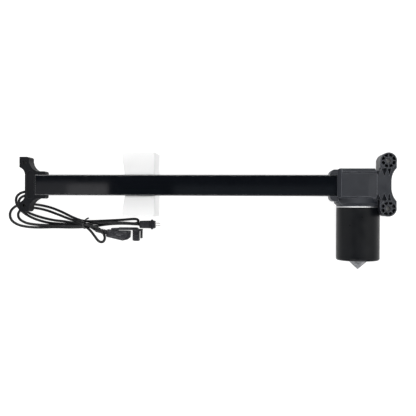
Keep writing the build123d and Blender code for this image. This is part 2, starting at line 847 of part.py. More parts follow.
plug_route = [
    (grommet_left, plug_cord_y, cord_exit_z),
    (-276, 28.6, 36),
    (-289.6, 24.4, 31),
    (-296.6, 16.4, 24),
    (-297.8, 7.6, 15.6),
    (-293.6, -1.6, 8.4),
    (-284.6, -9.4, 4),
    (-270.2, -16, 2.1),
    (-250.6, -20.9, 2.1),
    (-231, -22, 2.1),
    (-211.6, -23.2, 2.1),
    (-192.7, -22.5, 3.1),
    (-177.3, -21, 4.4),
    (-160.7, -19.7, 6.4),
    (-144.5, -19.4, 7.2),
    (-128, -19.3, 7.6),
    (-114.5, -20.6, 7.7),
    (-107.6, -20.2, 7.2),
    (-105.6, -17, 5.4),
    (-107.8, -13.9, 3.2),
    (-114.5, -13.4, 2.1),
    (-130, -14.9, 2.1),
    (-148.8, -16, 2.1),
    (-171.3, -17.2, 2.1),
    (-192.7, -18.1, 3.1),
    (-210, -12.7, 2.1),
    (-229.4, -3, 2.1),
    (-248.9, 4.4, 2.1),
    (-268.5, 8.2, 2.1),
    (-287.6, 9.9, 2.1),
    (-304.3, 7.2, 2.1),
    (-315, -3, 2.1),
    (-314, -15.8, 2.1),
    (-302, -24.4, 2.1),
    (-283.6, -27.8, 2.1),
    (-262, -28.1, 2.1),
    (-239.2, -27.2, 2.1),
    (-216.4, -27.7, 2.1),
    (-192.7, -26.9, 3.1),
    (-177.7, -25.7, 2.3),
    (-161.6, -22.8, 2.1),
    (-144, -21.2, 2.1),
    (-127, -20.9, 2.1),
    (-115, -21.4, 2.3),
    (-105.6, -21.9, 3),
]
connector_route = [
    (grommet_left, connector_cord_y, cord_exit_z),
    (-274, 23.2, 35.6),
    (-286, 19.4, 30),
    (-292.6, 12.6, 23),
    (-292.9, 4.8, 16.2),
    (-287.2, -1.6, 11),
    (-277.6, -6.8, 7),
    (-263.6, -11.9, 2.8),
    (-244.1, -16.4, 2.1),
    (-226.2, -17.9, 2.6),
    (-209, -20.3, 6.2),
    (-190.6, -22.4, 10.6),
    (-177.5, -24.9, 11.4),
    (-167.2, -28.4, 11.7),
    (-160.4, -35.2, 10.6),
    (-158.6, -43.4, 5.4),
    (-162.4, -50.6, 2.2),
    (-169.6, -50, 2.1),
    (-176.3, -41.2, 2.6),
    (-183.4, -30.8, 5.6),
    (-191.6, -24.7, 6.9),
    (-210.4, -25.6, 6),
    (-231.4, -24.6, 5.9),
    (-252.5, -24.4, 5.8),
    (-271.1, -23.6, 4),
    (-288, -21.5, 2.1),
    (-300.5, -14.6, 2.1),
    (-301.6, -4, 2.1),
    (-292, 2.7, 2.1),
    (-275.1, 3.6, 2.1),
    (-255.5, -0.2, 2.1),
    (-235.9, -7.2, 2.1),
    (-216.3, -14.6, 2.8),
    (-203.4, -17.8, 5.4),
    (-191.6, -20.3, 7),
    (-183, -25.4, 6.6),
    (-174.9, -30.8, 4.6),
]


def bend_radii(route):
    """The largest radius that each corner of a route has room for."""
    points = [Vector(*p) for p in route]
    radii = []
    for before, corner, after in zip(points, points[1:], points[2:]):
        turn = math.radians((corner - before).get_angle(after - corner))
        run = min((corner - before).length, (after - corner).length)
        radii.append(0.45 * run / math.tan(turn / 2))
    return radii


def cord_tube(route, name):
    """A round tube along straight runs joined by tangent arcs."""
    radii = bend_radii(route)
    with BuildLine():
        centre = FilletPolyline(*route, radius=radii)
    with BuildSketch(Plane(origin=centre @ 0, z_dir=centre % 0)) as section:
        Circle(cord_radius)
    sweep(section.sketch, path=centre)
    print(name, "length", round(centre.length, 1), "tightest", sorted(round(r, 1) for r in radii)[:6])
    return centre.length


with BuildPart() as plug_cord:
    plug_length = cord_tube(plug_route, "plug cord")
plug_cord.part.label = "plug_cord"
export_step(plug_cord.part, "parts/plug_cord.step")
print("plug cord volume ratio", plug_cord.part.volume / (math.pi * cord_radius**2 * plug_length))

with BuildPart() as connector_cord:
    connector_length = cord_tube(connector_route, "connector cord")
connector_cord.part.label = "connector_cord"
export_step(connector_cord.part, "parts/connector_cord.step")
print(
    "connector cord volume ratio",
    connector_cord.part.volume / (math.pi * cord_radius**2 * connector_length),
)

with BuildPart() as cable_tie:
    tie_x = -192.4
    with BuildSketch(Plane(origin=(tie_x - 1.5, -22.6, 7.1), x_dir=(0, 1, 0), z_dir=(1, 0, 0))):
        RectangleRounded(15.6, 13.8, 4.0)
        RectangleRounded(13.6, 12.2, 2.6, mode=Mode.SUBTRACT)
    extrude(amount=3.0)
    # the twisted tail
    with BuildSketch(Plane(origin=(tie_x, -16.4, 10.6), z_dir=(9.0, 4.2, 1.0))):
        Rectangle(1.6, 1.2)
    extrude(amount=11.0)
cable_tie.part.label = "cable_tie"
export_step(cable_tie.part, "parts/cable_tie.step")

# ---- Two-pin plug ----

plug_left = -105.6
plug_y = -21.9
plug_body_left = -103.6
plug_right = -79.2
plug_floor = 0.3
plug_top = 9.5

with BuildPart() as plug_body:
    with BuildSketch(Plane(origin=(plug_left, plug_y, 3.2), x_dir=(0, 1, 0), z_dir=(1, 0, 0))):
        Circle(2.9)
    extrude(amount=plug_body_left - plug_left + 1)
    block(plug_body_left, plug_right, plug_y - 6.2, plug_y + 6.2, plug_floor, plug_top)
    fillet(plug_body.edges().filter_by(Axis.X), 1.2)
    block(plug_right - 6.6, plug_right - 3.2, plug_y - 7.9, plug_y + 7.9, 2.6, 7.4)
    for pin in (-1, 1):
        plane = Plane(
            origin=(plug_right - 9.0, plug_y + pin * 1.9, 5.0), x_dir=(0, 1, 0), z_dir=(1, 0, 0)
        )
        with BuildSketch(plane):
            Circle(0.8)
        extrude(amount=9.0, mode=Mode.SUBTRACT)
plug_body.part.label = "plug_body"
export_step(plug_body.part, "parts/plug_body.step")

with BuildPart() as plug_pins:
    for pin in (-1, 1):
        plane = Plane(
            origin=(plug_right - 9.0, plug_y + pin * 1.9, 5.0), x_dir=(0, 1, 0), z_dir=(1, 0, 0)
        )
        with BuildSketch(plane):
            Circle(0.8)
        extrude(amount=17.0)
    chamfer(plug_pins.faces().filter_by(Axis.X).group_by(Axis.X)[-1].edges(), 0.3)
plug_pins.part.label = "plug_pins"
export_step(plug_pins.part, "parts/plug_pins.step")

# ---- Latching connector, turned a little on the floor, and its lock clip ----

connector_turn = -12.5
connector_frame = Plane(origin=(-174.9, -30.8, 4.6)).rotated((0, 0, connector_turn))
relief_length = 19.5
shell_length = 38.0
shell_half = 6.8
shell_bottom = -4.3
shell_top = 4.7


def along_connector(distance):
    """A plane square to the connector's axis at a distance from the cord's end."""
    return Plane(
        origin=connector_frame.from_local_coords((distance, 0, 0)),
        x_dir=connector_frame.y_dir,
        z_dir=connector_frame.x_dir,
    )


with BuildPart() as connector_strain_relief:
    with BuildSketch(along_connector(0)):
        Circle(2.9)
    with BuildSketch(along_connector(relief_length)):
        Circle(3.7)
    loft()
    for ring in range(5):
        with BuildSketch(along_connector(2.4 + 3.0 * ring)):
            Circle(3.6 + 0.14 * ring)
        extrude(amount=1.4)
connector_strain_relief.part.label = "connector_strain_relief"
export_step(connector_strain_relief.part, "parts/connector_strain_relief.step")

with BuildPart() as connector_shell:
    with BuildSketch(connector_frame.offset(shell_bottom)):
        with BuildLine():
            Polyline(
                (relief_length, -shell_half + 0.8),
                (relief_length + 3.0, -shell_half),
                (relief_length + 28.0, -shell_half),
                (relief_length + 31.4, -shell_half + 2.6),
                (relief_length + 34.6, -shell_half + 3.4),
                (relief_length + 35.4, -shell_half + 6.4),
                (relief_length + shell_length, -shell_half + 7.2),
                (relief_length + shell_length - 1.5, 10.6),
                (relief_length + shell_length - 3.5, 11.3),
                (relief_length + 11.0, 6.2),
                (relief_length, 5.6),
                close=True,
            )
        make_face()
    extrude(amount=shell_top - shell_bottom)
    chamfer(connector_shell.faces().sort_by(Axis.Z)[-1].outer_wire().edges(), 0.8)
    # hinge rail that meets the lock clip's bar
    with BuildSketch(Plane.XY.offset(plug_floor)):
        Polygon(
            (-149.0, -27.6),
            (-138.0, -27.2),
            (-138.0, -33.5),
            (-149.0, -32.0),
            align=None,
        )
    extrude(amount=8.0)
    # mating mouth
    with BuildSketch(along_connector(relief_length + shell_length - 9.0)):
        with Locations((2.2, 0)):
            Rectangle(4.0, 5.0)
    extrude(amount=12.0, mode=Mode.SUBTRACT)
connector_shell.part.label = "connector_shell"
export_step(connector_shell.part, "parts/connector_shell.step")

with BuildPart() as connector_contacts:
    with BuildSketch(along_connector(relief_length + shell_length - 9.0)):
        with Locations((1.2, 0), (3.3, 0)):
            Rectangle(0.8, 2.0)
    extrude(amount=7.0)
connector_contacts.part.label = "connector_contacts"
export_step(connector_contacts.part, "parts/connector_contacts.step")

with BuildPart() as connector_lock_clip:
    block(-138.0, -106.0, -30.9, -27.2, plug_floor, 8.3)
    block(-110.0, -99.6, -32.4, -28.9, plug_floor, 8.3)
    with BuildSketch(Plane.XY.offset(plug_floor)):
        Polygon(
            (-115.2, -29.6),
            (-104.2, -29.6),
            (-104.2, -47.0),
            (-105.4, -47.9),
            (-112.4, -47.9),
            (-113.8, -46.4),
            align=None,
        )
    extrude(amount=8.0)
    block(-102.6, -99.6, -43.6, -32.0, 1.5, 7.1)
    block(-111.6, -106.4, -44.8, -34.6, 5.8, 8.4, Mode.SUBTRACT)
connector_lock_clip.part.label = "connector_lock_clip"
export_step(connector_lock_clip.part, "parts/connector_lock_clip.step")
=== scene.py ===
"""Visual model of a rail-type linear actuator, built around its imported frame.

Everything is in metres: x runs along the rail, y across it and z up from the floor.
"""

import json
import math

import bmesh
import bpy
from mathutils import Matrix, Vector

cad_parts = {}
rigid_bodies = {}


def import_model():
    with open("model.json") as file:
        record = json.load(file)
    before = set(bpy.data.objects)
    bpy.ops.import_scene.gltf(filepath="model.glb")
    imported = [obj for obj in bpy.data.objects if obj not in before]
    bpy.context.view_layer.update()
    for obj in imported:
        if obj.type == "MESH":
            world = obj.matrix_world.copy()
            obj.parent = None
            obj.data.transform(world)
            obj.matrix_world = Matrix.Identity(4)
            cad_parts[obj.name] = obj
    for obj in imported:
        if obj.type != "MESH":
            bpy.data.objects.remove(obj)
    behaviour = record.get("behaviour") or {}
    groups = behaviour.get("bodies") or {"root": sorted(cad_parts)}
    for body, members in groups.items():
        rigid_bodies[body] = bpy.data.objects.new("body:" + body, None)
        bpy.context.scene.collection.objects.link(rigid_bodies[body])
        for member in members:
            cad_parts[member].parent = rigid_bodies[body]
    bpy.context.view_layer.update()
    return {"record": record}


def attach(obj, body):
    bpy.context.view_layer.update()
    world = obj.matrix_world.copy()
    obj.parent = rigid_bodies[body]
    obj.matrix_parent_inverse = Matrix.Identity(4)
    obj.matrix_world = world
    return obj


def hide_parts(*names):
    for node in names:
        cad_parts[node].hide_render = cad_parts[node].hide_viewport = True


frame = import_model()

RAIL_Y = 0.0375
RAIL_Z = 0.0515
MOTOR_X = 0.2272
MOTOR_Z = 0.0315
CORD_DIAMETER = 0.004
IN_PLACE = Matrix.Identity(4)

# ---- Camera: looks down on the object, tilted five degrees across the rail ----

CAMERA_AT = Vector((0.0880, 0.00425, 0.9749))
LOOKS_AT = Vector((0.0054, 0.00425, 0.0315))
CAMERA_ROLL = math.radians(0.3)
LENS = 54.43
SENSOR = 36.0

view_axis = (CAMERA_AT - LOOKS_AT).normalized()
view_right = Vector((0, 1, 0)).cross(view_axis).normalized()
view_up = view_axis.cross(view_right)
camera_turn = Matrix((view_right, view_up, view_axis)).transposed().to_4x4()
camera_data = bpy.data.cameras.new("camera")
camera_data.lens = LENS
camera_data.sensor_width = SENSOR
camera_data.clip_start = 0.01
camera = bpy.data.objects.new("camera", camera_data)
camera.matrix_world = (
    Matrix.Translation(CAMERA_AT) @ camera_turn @ Matrix.Rotation(CAMERA_ROLL, 4, "Z")
)
bpy.context.scene.collection.objects.link(camera)
bpy.context.scene.camera = camera


# ---- Cords ----

# the control points are chosen one by one and are those of the part's own cords
PLUG_ROUTE = [
    (-0.2620, 0.0289, 0.0370),
    (-0.2760, 0.0286, 0.0360),
    (-0.2896, 0.0244, 0.0310),
    (-0.2966, 0.0164, 0.0240),
    (-0.2978, 0.0076, 0.0156),
    (-0.2936, -0.0016, 0.0084),
    (-0.2846, -0.0094, 0.0040),
    (-0.2702, -0.0160, 0.0021),
    (-0.2506, -0.0209, 0.0021),
    (-0.2310, -0.0220, 0.0021),
    (-0.2116, -0.0232, 0.0021),
    (-0.1927, -0.0225, 0.0031),
    (-0.1773, -0.0210, 0.0044),
    (-0.1607, -0.0197, 0.0064),
    (-0.1445, -0.0194, 0.0072),
    (-0.1280, -0.0193, 0.0076),
    (-0.1145, -0.0206, 0.0077),
    (-0.1076, -0.0202, 0.0072),
    (-0.1056, -0.0170, 0.0054),
    (-0.1078, -0.0139, 0.0032),
    (-0.1145, -0.0134, 0.0021),
    (-0.1300, -0.0149, 0.0021),
    (-0.1488, -0.0160, 0.0021),
    (-0.1713, -0.0172, 0.0021),
    (-0.1927, -0.0181, 0.0031),
    (-0.2100, -0.0127, 0.0021),
    (-0.2294, -0.0030, 0.0021),
    (-0.2489, 0.0044, 0.0021),
    (-0.2685, 0.0082, 0.0021),
    (-0.2876, 0.0099, 0.0021),
    (-0.3043, 0.0072, 0.0021),
    (-0.3150, -0.0030, 0.0021),
    (-0.3140, -0.0158, 0.0021),
    (-0.3020, -0.0244, 0.0021),
    (-0.2836, -0.0278, 0.0021),
    (-0.2620, -0.0281, 0.0021),
    (-0.2392, -0.0272, 0.0021),
    (-0.2164, -0.0277, 0.0021),
    (-0.1927, -0.0269, 0.0031),
    (-0.1777, -0.0257, 0.0023),
    (-0.1616, -0.0228, 0.0021),
    (-0.1440, -0.0212, 0.0021),
    (-0.1270, -0.0209, 0.0021),
    (-0.1150, -0.0214, 0.0023),
    (-0.1056, -0.0219, 0.0030),
]
CONNECTOR_ROUTE = [
    (-0.2620, 0.0236, 0.0370),
    (-0.2740, 0.0232, 0.0356),
    (-0.2860, 0.0194, 0.0300),
    (-0.2926, 0.0126, 0.0230),
    (-0.2929, 0.0048, 0.0162),
    (-0.2872, -0.0016, 0.0110),
    (-0.2776, -0.0068, 0.0070),
    (-0.2636, -0.0119, 0.0028),
    (-0.2441, -0.0164, 0.0021),
    (-0.2262, -0.0179, 0.0026),
    (-0.2090, -0.0203, 0.0062),
    (-0.1906, -0.0224, 0.0106),
    (-0.1775, -0.0249, 0.0114),
    (-0.1672, -0.0284, 0.0117),
    (-0.1604, -0.0352, 0.0106),
    (-0.1586, -0.0434, 0.0054),
    (-0.1624, -0.0506, 0.0022),
    (-0.1696, -0.0500, 0.0021),
    (-0.1763, -0.0412, 0.0026),
    (-0.1834, -0.0308, 0.0056),
    (-0.1916, -0.0247, 0.0069),
    (-0.2104, -0.0256, 0.0060),
    (-0.2314, -0.0246, 0.0059),
    (-0.2525, -0.0244, 0.0058),
    (-0.2711, -0.0236, 0.0040),
    (-0.2880, -0.0215, 0.0021),
    (-0.3005, -0.0146, 0.0021),
    (-0.3016, -0.0040, 0.0021),
    (-0.2920, 0.0027, 0.0021),
    (-0.2751, 0.0036, 0.0021),
    (-0.2555, -0.0002, 0.0021),
    (-0.2359, -0.0072, 0.0021),
    (-0.2163, -0.0146, 0.0028),
    (-0.2034, -0.0178, 0.0054),
    (-0.1916, -0.0203, 0.0070),
    (-0.1830, -0.0254, 0.0066),
    (-0.1749, -0.0308, 0.0046),
]


def cord_curve(name, route):
    """A smooth NURBS cord through the route's control points."""
    curve = bpy.data.curves.new(name, "CURVE")
    curve.dimensions = "3D"
    curve.resolution_u = 8
    curve.bevel_depth = CORD_DIAMETER / 2
    curve.bevel_resolution = 8
    curve.use_fill_caps = True
    spline = curve.splines.new("NURBS")
    spline.points.add(len(route) - 1)
    for control, point in zip(spline.points, route):
        control.co = (*point, 1.0)
    spline.order_u = 3
    spline.use_endpoint_u = True
    cord = bpy.data.objects.new(name, curve)
    bpy.context.scene.collection.objects.link(cord)
    return cord


plug_lead = cord_curve("plug_lead", PLUG_ROUTE)
connector_lead = cord_curve("connector_lead", CONNECTOR_ROUTE)


# ---- Materials ----

def material(
    name,
    colour,
    rough,
    metal=0.0,
    spread=0.12,
    blotch=0.03,
    grain=0.0006,
    bump=0.25,
    depth=0.00002,
    stretch=(1, 1, 1),
    edge=0.0004,
    specular=0.5,
    edge_wear_and_highlight=0.0,
    edge_wear_and_highlight_lift=0.05,
):
    """A procedural surface: mottled colour, uneven gloss, fine grain, softened edges, and paler
    edges that are partly rubbed wear and partly painted highlight.
    """
    made = bpy.data.materials.new(name)
    made.use_nodes = True
    nodes = made.node_tree.nodes
    link = made.node_tree.links.new
    shader = nodes["Principled BSDF"]
    shader.inputs["Metallic"].default_value = metal
    shader.inputs["Specular IOR Level"].default_value = specular
    place = nodes.new("ShaderNodeTexCoord")
    scaled = nodes.new("ShaderNodeMapping")
    scaled.inputs["Scale"].default_value = stretch
    link(place.outputs["Object"], scaled.inputs["Vector"])

    def noise(size, detail, vector):
        """Noise of a given size in metres."""
        cloud = nodes.new("ShaderNodeTexNoise")
        cloud.inputs["Scale"].default_value = 1.0 / size
        cloud.inputs["Detail"].default_value = detail
        link(vector, cloud.inputs["Vector"])
        return cloud.outputs["Fac"]

    def remap(value, low, high, out_low, out_high):
        """A value's range moved to another range."""
        ranged = nodes.new("ShaderNodeMapRange")
        ranged.inputs["From Min"].default_value = low
        ranged.inputs["From Max"].default_value = high
        ranged.inputs["To Min"].default_value = out_low
        ranged.inputs["To Max"].default_value = out_high
        link(value, ranged.inputs["Value"])
        return ranged.outputs["Result"]

    def mix(fac, first, second):
        """Two colours mixed by a factor."""
        mixed = nodes.new("ShaderNodeMix")
        mixed.data_type = "RGBA"
        link(fac, mixed.inputs["Factor"])
        for socket, value in ((mixed.inputs["A"], first), (mixed.inputs["B"], second)):
            if isinstance(value, tuple):
                socket.default_value = (*value, 1.0)
            else:
                link(value, socket)
        return mixed.outputs["Result"]

    darker = tuple(c * (1 - spread) for c in colour)
    lighter = tuple(min(1.0, c * (1 + spread)) for c in colour)
    mottle = mix(remap(noise(blotch, 4, place.outputs["Object"]), 0.3, 0.7, 0, 1), darker, lighter)
    rounded = nodes.new("ShaderNodeBevel")
    rounded.samples = 4
    rounded.inputs["Radius"].default_value = edge
    if edge_wear_and_highlight:
        # rubbed edges and painted edge highlights: where the rounded normal leaves the true one,
        # the colour is lifted paler
        flat = nodes.new("ShaderNodeNewGeometry")
        apart = nodes.new("ShaderNodeVectorMath")
        apart.operation = "DOT_PRODUCT"
        link(rounded.outputs["Normal"], apart.inputs[0])
        link(flat.outputs["Normal"], apart.inputs[1])
        worn_and_highlit_edges = remap(apart.outputs["Value"], 0.985, 0.9, 0.0, edge_wear_and_highlight)
        worn_and_highlit_colour = tuple(c * 4.0 + edge_wear_and_highlight_lift for c in colour)
        mottle = mix(worn_and_highlit_edges, mottle, worn_and_highlit_colour)
    link(mottle, shader.inputs["Base Color"])
    patches = noise(blotch * 0.4, 5, scaled.outputs["Vector"])
    uneven = remap(patches, 0.3, 0.7, rough * 0.82, rough * 1.2)
    link(uneven, shader.inputs["Roughness"])
    bumped = nodes.new("ShaderNodeBump")
    bumped.inputs["Strength"].default_value = bump
    bumped.inputs["Distance"].default_value = depth
    link(noise(grain, 3, scaled.outputs["Vector"]), bumped.inputs["Height"])
    link(rounded.outputs["Normal"], bumped.inputs["Normal"])
    link(bumped.outputs["Normal"], shader.inputs["Normal"])
    return made


ZINC = (0.62, 0.62, 0.60)
FINISHES = {
    # the rail's paler edges are a painted highlight standing in for the gloss on its rounded long
    # edges
    "rail_paint": dict(
        colour=(0.0035, 0.0045, 0.0065), rough=0.06, specular=0.5, grain=0.0016, bump=0.1,
        depth=0.00002, edge_wear_and_highlight=1.0, edge=0.0016, edge_wear_and_highlight_lift=0.16,
    ),
    "bracket_plastic": dict(
        colour=(0.0045, 0.0050, 0.0065), rough=0.5, specular=0.06, grain=0.0005, bump=0.5,
        depth=0.00004, edge_wear_and_highlight=0.5, edge=0.0007,
    ),
    # the housing's paler rims and rib edges are partly wear and partly a painted highlight
    "housing_plastic": dict(
        colour=(0.0165, 0.0185, 0.0240), rough=0.42, specular=0.16, grain=0.0005, bump=0.5,
        depth=0.00004, edge_wear_and_highlight=1.0, edge=0.0009, edge_wear_and_highlight_lift=0.10,
    ),
    "motor_paint": dict(
        colour=(0.0035, 0.0042, 0.0055), rough=0.33, specular=0.12, grain=0.0011, bump=0.3,
        depth=0.00003, edge=0.0005,
    ),
    "plate_steel": dict(colour=(0.52, 0.52, 0.53), rough=0.42, metal=1.0, stretch=(1, 8, 1)),
    "cap_silver": dict(
        colour=(0.17, 0.175, 0.185), rough=0.2, metal=1.0, spread=0.5, blotch=0.0045, edge=0.0003,
    ),
    "zinc_steel": dict(colour=ZINC, rough=0.32, metal=1.0, blotch=0.004),
    "tube_steel": dict(colour=ZINC, rough=0.3, metal=1.0, blotch=0.01, stretch=(20, 1, 20)),
    "screw_steel": dict(colour=(0.50, 0.50, 0.51), rough=0.25, metal=1.0, blotch=0.01),
    "bearing_steel": dict(colour=(0.70, 0.70, 0.72), rough=0.14, metal=1.0, blotch=0.004),
    "bronze": dict(colour=(0.56, 0.36, 0.17), rough=0.42, metal=1.0, blotch=0.003, grain=0.0002),
    "wheel_plastic": dict(colour=(0.83, 0.80, 0.70), rough=0.4, spread=0.05),
    "ferrite": dict(colour=(0.07, 0.07, 0.075), rough=0.75, spread=0.2, grain=0.0003),
    "phenolic": dict(colour=(0.30, 0.16, 0.07), rough=0.6, spread=0.2, stretch=(1, 1, 5)),
    "graphite": dict(colour=(0.045, 0.045, 0.047), rough=0.6, grain=0.0003),
    "core_steel": dict(colour=(0.36, 0.36, 0.38), rough=0.4, metal=1.0, stretch=(1, 14, 1)),
    "copper": dict(colour=(0.74, 0.34, 0.18), rough=0.28, metal=1.0, blotch=0.003),
    "slider_plastic": dict(
        colour=(0.88, 0.88, 0.88), rough=0.36, spread=0.008, grain=0.0008, bump=0.3, depth=0.00003,
        edge=0.0009,
    ),
    "nut_plastic": dict(colour=(0.84, 0.83, 0.78), rough=0.4, spread=0.03),
    "switch_plastic": dict(colour=(0.03, 0.03, 0.035), rough=0.45),
    "plunger_plastic": dict(colour=(0.60, 0.06, 0.04), rough=0.4, spread=0.06),
    "harness_pvc": dict(colour=(0.25, 0.25, 0.27), rough=0.5, stretch=(0.2, 1, 12), grain=0.0012),
    "cable_rubber": dict(
        colour=(0.0030, 0.0032, 0.0042), rough=0.36, specular=0.15, grain=0.0007, bump=0.35,
        depth=0.00004, edge=0.0002,
    ),
    "tie_nylon": dict(colour=(0.004, 0.004, 0.005), rough=0.3, specular=0.25, edge=0.0002),
    "plug_plastic": dict(
        colour=(0.0050, 0.0052, 0.0080), rough=0.40, specular=0.24, grain=0.0004, bump=0.5,
        depth=0.00004, edge_wear_and_highlight=0.7,
    ),
    "contact_plate": dict(
        colour=(0.42, 0.41, 0.40), rough=0.25, metal=1.0, blotch=0.002, edge=0.0002,
    ),
}
SURFACES = {name: material(name, **finish) for name, finish in FINISHES.items()}

for entry in frame["record"]["subparts"]:
    for slot in bpy.data.objects[entry["node"]].material_slots:
        slot.material = SURFACES[entry["material_slot"]]


# ---- Mesh helpers ----

def piece_from(bm, name, body, slot, replaced, sharp=35):
    """A finished piece: smooth-shaded mesh with sharp edges kept, on its body and in its finish."""
    bmesh.ops.remove_doubles(bm, verts=bm.verts, dist=1e-7)
    bmesh.ops.recalc_face_normals(bm, faces=bm.faces)
    for face in bm.faces:
        face.smooth = True
    for edge in bm.edges:
        edge.smooth = len(edge.link_faces) == 2 and edge.calc_face_angle() < math.radians(sharp)
    mesh = bpy.data.meshes.new(name)
    bm.to_mesh(mesh)
    bm.free()
    mesh.materials.append(SURFACES[slot])
    made = bpy.data.objects.new(name, mesh)
    bpy.context.scene.collection.objects.link(made)
    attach(made, body)
    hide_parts(*replaced)


def bridge(bm, rings):
    """Faces between successive closed rings of vertices."""
    for ring, following in zip(rings, rings[1:]):
        count = len(ring)
        for i in range(count):
            j = (i + 1) % count
            bm.faces.new((ring[i], ring[j], following[j], following[i]))


def loft(bm, place, stations, segments=48):
    """A capped loft of rounded sections.

    A station is (along, side, up, half width, half height, power).
    """
    rings = []
    for along, side, up, half_width, half_height, power in stations:
        ring = []
        for i in range(segments):
            angle = 2 * math.pi * (i + 0.5) / segments
            c, s = math.cos(angle), math.sin(angle)
            wide = math.copysign(abs(c) ** (2 / power), c) * half_width
            high = math.copysign(abs(s) ** (2 / power), s) * half_height
            ring.append(bm.verts.new(place @ Vector((along, side + wide, up + high))))
        rings.append(ring)
    bridge(bm, rings)
    bm.faces.new(rings[0])
    bm.faces.new(rings[-1])


def slab(bm, place, low, high, bevel):
    """A box between two corners with rounded edges."""
    made = bmesh.ops.create_cube(bm, size=1.0)["verts"]
    middle = (Vector(low) + Vector(high)) / 2
    size = Vector(high) - Vector(low)
    for vert in made:
        vert.co = Vector(vert.co * size) + middle
    edges = list({edge for vert in made for edge in vert.link_edges})
    rounded = bmesh.ops.bevel(bm, geom=edges, offset=bevel, segments=3, affect="EDGES", profile=0.5)
    corners = {vert for face in rounded["faces"] for vert in face.verts}
    corners |= {vert for vert in made if vert.is_valid}
    for vert in corners:
        vert.co = place @ vert.co


def prism(bm, place, outline, low, high, bevel):
    """An outline raised from low to high with rounded edges."""
    foot = [bm.verts.new((x, y, low)) for x, y in outline]
    head = [bm.verts.new((x, y, high)) for x, y in outline]
    bridge(bm, [foot, head])
    bm.faces.new(foot)
    bm.faces.new(head)
    edges = list({edge for vert in foot + head for edge in vert.link_edges})
    rounded = bmesh.ops.bevel(bm, geom=edges, offset=bevel, segments=2, affect="EDGES", profile=0.5)
    corners = {vert for face in rounded["faces"] for vert in face.verts}
    corners |= {vert for vert in foot + head if vert.is_valid}
    for vert in corners:
        vert.co = place @ vert.co


# ---- Plug ----

PLUG_Y = -0.0219
plug_place = Matrix.Translation((0, PLUG_Y, 0))
bm = bmesh.new()
loft(
    bm,
    plug_place,
    [
        (-0.1056, 0, 0.0035, 0.0026, 0.0026, 2.0),
        (-0.1050, 0, 0.0035, 0.0031, 0.0031, 2.0),
        (-0.1040, 0, 0.0040, 0.0036, 0.0034, 2.2),
        (-0.1035, 0, 0.0047, 0.0052, 0.0041, 3.4),
        (-0.1025, 0, 0.0048, 0.0057, 0.0043, 4.5),
        (-0.0985, 0, 0.0049, 0.0059, 0.0045, 6.0),
        (-0.0884, 0, 0.0049, 0.0061, 0.0045, 7.0),
        (-0.0866, 0, 0.0049, 0.0061, 0.0045, 7.0),
        (-0.0862, 0, 0.0049, 0.0058, 0.0042, 7.0),
        (-0.0858, 0, 0.0050, 0.0062, 0.0034, 7.0),
        (-0.0856, 0, 0.0050, 0.0077, 0.0026, 6.0),
        (-0.0828, 0, 0.0050, 0.0077, 0.0026, 6.0),
        (-0.0825, 0, 0.0050, 0.0062, 0.0034, 7.0),
        (-0.0822, 0, 0.0049, 0.0060, 0.0043, 7.0),
        (-0.0797, 0, 0.0049, 0.0060, 0.0043, 7.0),
        (-0.0792, 0, 0.0049, 0.0056, 0.0039, 6.0),
    ],
    segments=56,
)
for step in range(5):
    # raised grip bars on the plug's front
    x = -0.1002 + 0.0024 * step
    slab(bm, plug_place, (x, -0.0044, 0.0088), (x + 0.0011, 0.0044, 0.0095), bevel=0.0003)
slab(bm, plug_place, (-0.0848, -0.0024, 0.0062), (-0.0834, 0.0024, 0.0092), bevel=0.0003)
piece_from(bm, "plug_moulding", "housing", "plug_plastic", ["plug_body"])

# ---- Latching connector ----

CONNECTOR_TURN = math.radians(-12.5)
RELIEF_LENGTH = 0.0195
connector_place = (
    Matrix.Translation(CONNECTOR_ROUTE[-1]) @ Matrix.Rotation(CONNECTOR_TURN, 4, "Z")
)
stations = [(0.0, 0, 0, 0.0024, 0.0024, 2.0), (0.0005, 0, 0, 0.0029, 0.0029, 2.0)]
for ring in range(6):
    # a flexible relief: stiff rings on a thinner tapering neck
    start = 0.0020 + 0.0028 * ring
    neck = 0.0024 + 0.00012 * ring
    rim = 0.0036 + 0.00012 * ring
    stations += [
        (start, 0, 0, neck, neck, 2.0),
        (start + 0.0002, 0, 0, rim - 0.0001, rim - 0.0001, 2.0),
        (start + 0.0004, 0, 0, rim, rim, 2.1),
        (start + 0.0013, 0, 0, rim, rim, 2.1),
        (start + 0.0015, 0, 0, rim - 0.0001, rim - 0.0001, 2.0),
        (start + 0.0017, 0, 0, neck, neck, 2.0),
    ]
stations.append((RELIEF_LENGTH, 0, 0, 0.0038, 0.0038, 2.2))
bm = bmesh.new()
loft(bm, connector_place, stations, segments=40)
piece_from(bm, "connector_relief", "housing", "plug_plastic", ["connector_strain_relief"], sharp=50)

bm = bmesh.new()
start = RELIEF_LENGTH
prism(
    bm,
    connector_place,
    [
        (start, -0.0058),
        (start + 0.0030, -0.0067),
        (start + 0.0278, -0.0067),
        (start + 0.0312, -0.0042),
        (start + 0.0345, -0.0034),
        (start + 0.0353, -0.0004),
        (start + 0.0378, 0.0005),
        (start + 0.0363, 0.0105),
        (start + 0.0345, 0.0111),
        (start + 0.0110, 0.0061),
        (start, 0.0055),
    ],
    -0.0042,
    0.0036,
    bevel=0.0006,
)
prism(
    bm,
    connector_place,
    [
        (start + 0.0012, -0.0050),
        (start + 0.0034, -0.0058),
        (start + 0.0272, -0.0058),
        (start + 0.0300, -0.0034),
        (start + 0.0318, 0.0010),
        (start + 0.0312, 0.0092),
        (start + 0.0112, 0.0050),
        (start + 0.0012, 0.0045),
    ],
    0.0030,
    0.0046,
    bevel=0.0007,
)
for along in (0.0040, 0.0064, 0.0088):
    # grip bars across the front
    slab(
        bm,
        connector_place,
        (start + along, -0.0046, 0.0040),
        (start + along + 0.0011, 0.0040, 0.0047),
        bevel=0.0003,
    )
